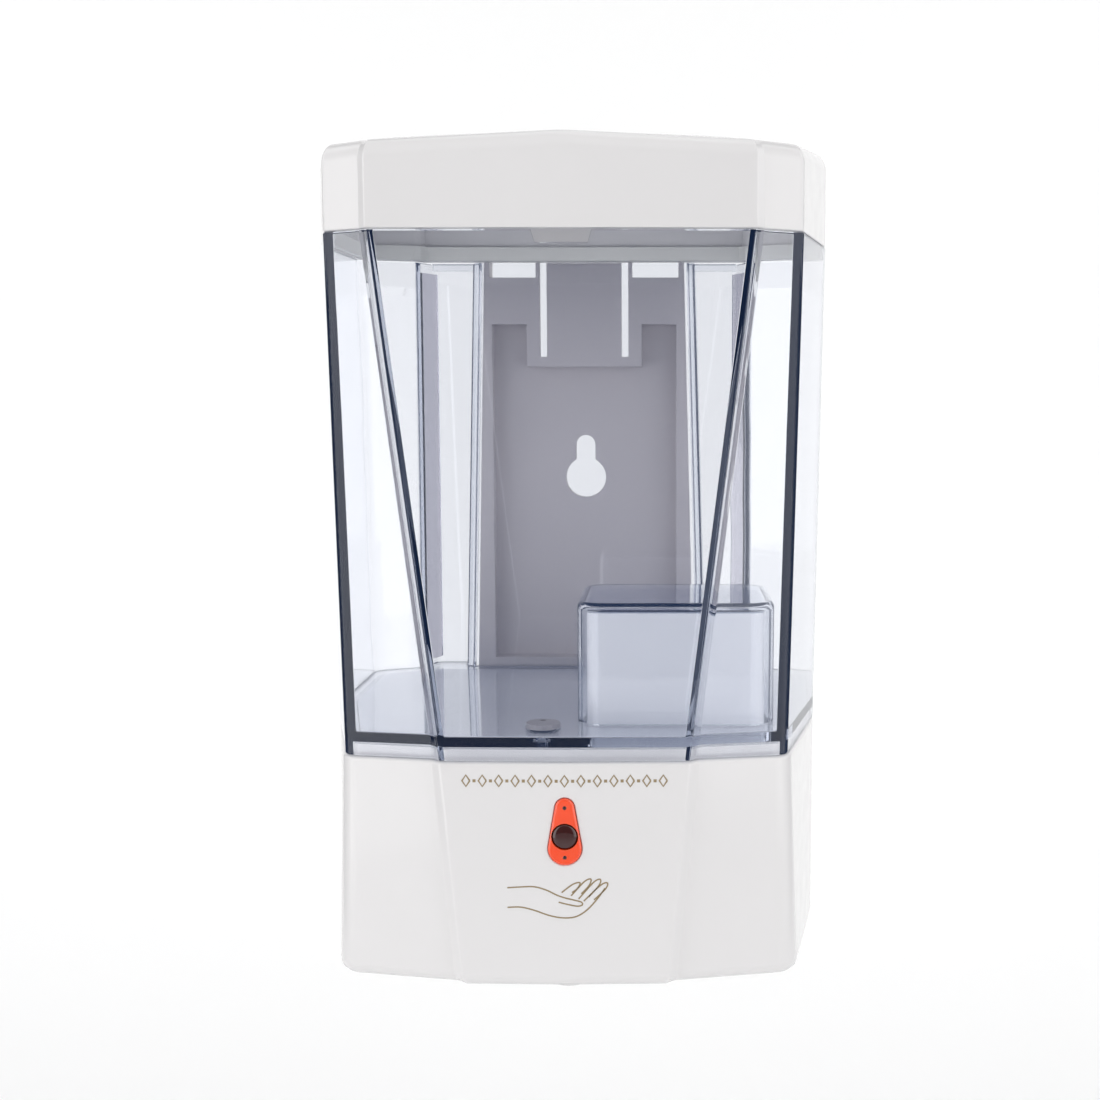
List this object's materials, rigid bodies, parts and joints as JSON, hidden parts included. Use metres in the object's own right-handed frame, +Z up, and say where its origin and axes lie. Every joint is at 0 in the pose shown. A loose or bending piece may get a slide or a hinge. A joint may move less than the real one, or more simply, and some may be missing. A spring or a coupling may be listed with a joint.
{
  "type": "wall-mounted sensor soap dispenser",
  "caption": "Wall-mounted touch-free soap dispenser with a clear tinted tank, hinged white lid, white drive housing with a drop-shaped sensor window, and a grey keyhole back plate.",
  "frame": {"origin": "on the back plate's wall face, on the dispenser's centre line, 100 mm above the underside of the housing", "axes": "+X to the right as seen from the front, +Y towards the wall, +Z up"},
  "size_m": [0.133, 0.1122, 0.2142],
  "materials": {
    "white_plastic": "glossy white ABS",
    "grey_plastic": "satin grey ABS",
    "clear_plastic": "clear moulded plastic with a blue-grey tint",
    "red_lens": "glossy translucent red",
    "dark_filter": "glossy infrared filter",
    "black_plastic": "matt black",
    "steel": "bright zinc plated",
    "plated_steel": "nickel plated",
    "brass": "machined",
    "silicone": "translucent silicone",
    "board": "solder mask",
    "acetal": "natural acetal",
    "cell_jacket": "plain dark sleeve",
    "lead_jacket": "red wire jacket"
  },
  "bodies": {
    "housing": {"back_plate": "grey_plastic", "battery_cell_1": "cell_jacket", "battery_cell_2": "cell_jacket", "battery_cell_3": "cell_jacket", "battery_cell_4": "cell_jacket", "battery_lead": "lead_jacket", "battery_tray": "black_plastic", "case_screw_1": "steel", "case_screw_2": "steel", "case_screw_3": "steel", "case_screw_4": "steel", "contact_1": "plated_steel", "contact_2": "plated_steel", "contact_3": "plated_steel", "contact_4": "plated_steel", "contact_5": "plated_steel", "deck": "white_plastic", "door_pin": "steel", "hinge_pin_left": "steel", "hinge_pin_right": "steel", "housing_shell": "white_plastic", "idler_axle": "steel", "indicator_led": "red_lens", "ir_emitter": "dark_filter", "ir_filter": "dark_filter", "ir_receiver": "black_plastic", "main_board": "board", "motor_can": "steel", "motor_end_cap": "black_plastic", "motor_lead": "lead_jacket", "motor_plate": "grey_plastic", "nozzle": "white_plastic", "nozzle_valve": "silicone", "outlet_seal": "silicone", "outlet_strainer": "grey_plastic", "pump_cover": "grey_plastic", "pump_housing": "grey_plastic", "pump_screw_1": "steel", "pump_screw_2": "steel", "pump_screw_3": "steel", "pump_tube": "silicone", "sensor_board": "board", "sensor_lead": "lead_jacket", "sensor_lens": "red_lens", "switch_body": "black_plastic", "tank": "clear_plastic"},
    "lid": {"lid": "white_plastic", "lid_seal": "silicone"},
    "battery_door": {"battery_door": "white_plastic"},
    "power_switch": {"switch_knob": "black_plastic"},
    "pump_rotor": {"pump_rotor": "acetal", "output_gear": "acetal", "roller_pin_1": "steel", "roller_pin_2": "steel", "roller_pin_3": "steel"},
    "roller_1": {"roller_1": "acetal"},
    "roller_2": {"roller_2": "acetal"},
    "roller_3": {"roller_3": "acetal"},
    "idler": {"idler_gear": "acetal"},
    "motor_rotor": {"motor_pinion": "brass"}
  },
  "joints": [
    {"name": "lid_hinge", "type": "hinge", "parent": "housing", "child": "lid", "pos_m": [0, -0.0036, 0.1054], "axis": [-1, 0, 0], "range_deg": [0, 80]},
    {"name": "battery_door_hinge", "type": "hinge", "parent": "housing", "child": "battery_door", "pos_m": [-0.028, -0.0264, -0.0984], "axis": [1, 0, 0], "range_deg": [0, 95]},
    {"name": "switch_slide", "type": "slide", "parent": "housing", "child": "power_switch", "axis": [1, 0, 0], "range_m": [0, 0.004]},
    {"name": "rotor_spin", "type": "hinge", "parent": "housing", "child": "pump_rotor", "pos_m": [0.02, -0.066, -0.07], "axis": [0, 0, 1], "continuous": true},
    {"name": "roller_1_spin", "type": "hinge", "parent": "pump_rotor", "child": "roller_1", "pos_m": [0.02, -0.058, -0.0665], "axis": [0, 0, 1], "continuous": true},
    {"name": "roller_2_spin", "type": "hinge", "parent": "pump_rotor", "child": "roller_2", "pos_m": [0.01307, -0.07, -0.0665], "axis": [0, 0, 1], "continuous": true},
    {"name": "roller_3_spin", "type": "hinge", "parent": "pump_rotor", "child": "roller_3", "pos_m": [0.02693, -0.07, -0.0665], "axis": [0, 0, 1], "continuous": true},
    {"name": "idler_spin", "type": "hinge", "parent": "housing", "child": "idler", "pos_m": [0.0335, -0.066, -0.053], "axis": [0, 0, 1], "continuous": true},
    {"name": "motor_spin", "type": "hinge", "parent": "housing", "child": "motor_rotor", "pos_m": [0.02547, -0.07558, -0.0494], "axis": [0, 0, 1], "continuous": true}
  ],
  "couplings": [
    {"joint": "roller_1_spin", "follows": "rotor_spin", "ratio": -3},
    {"joint": "roller_2_spin", "follows": "rotor_spin", "ratio": -3},
    {"joint": "roller_3_spin", "follows": "rotor_spin", "ratio": -3},
    {"joint": "idler_spin", "follows": "rotor_spin", "ratio": -3.5},
    {"joint": "motor_spin", "follows": "rotor_spin", "ratio": 14}
  ]
}
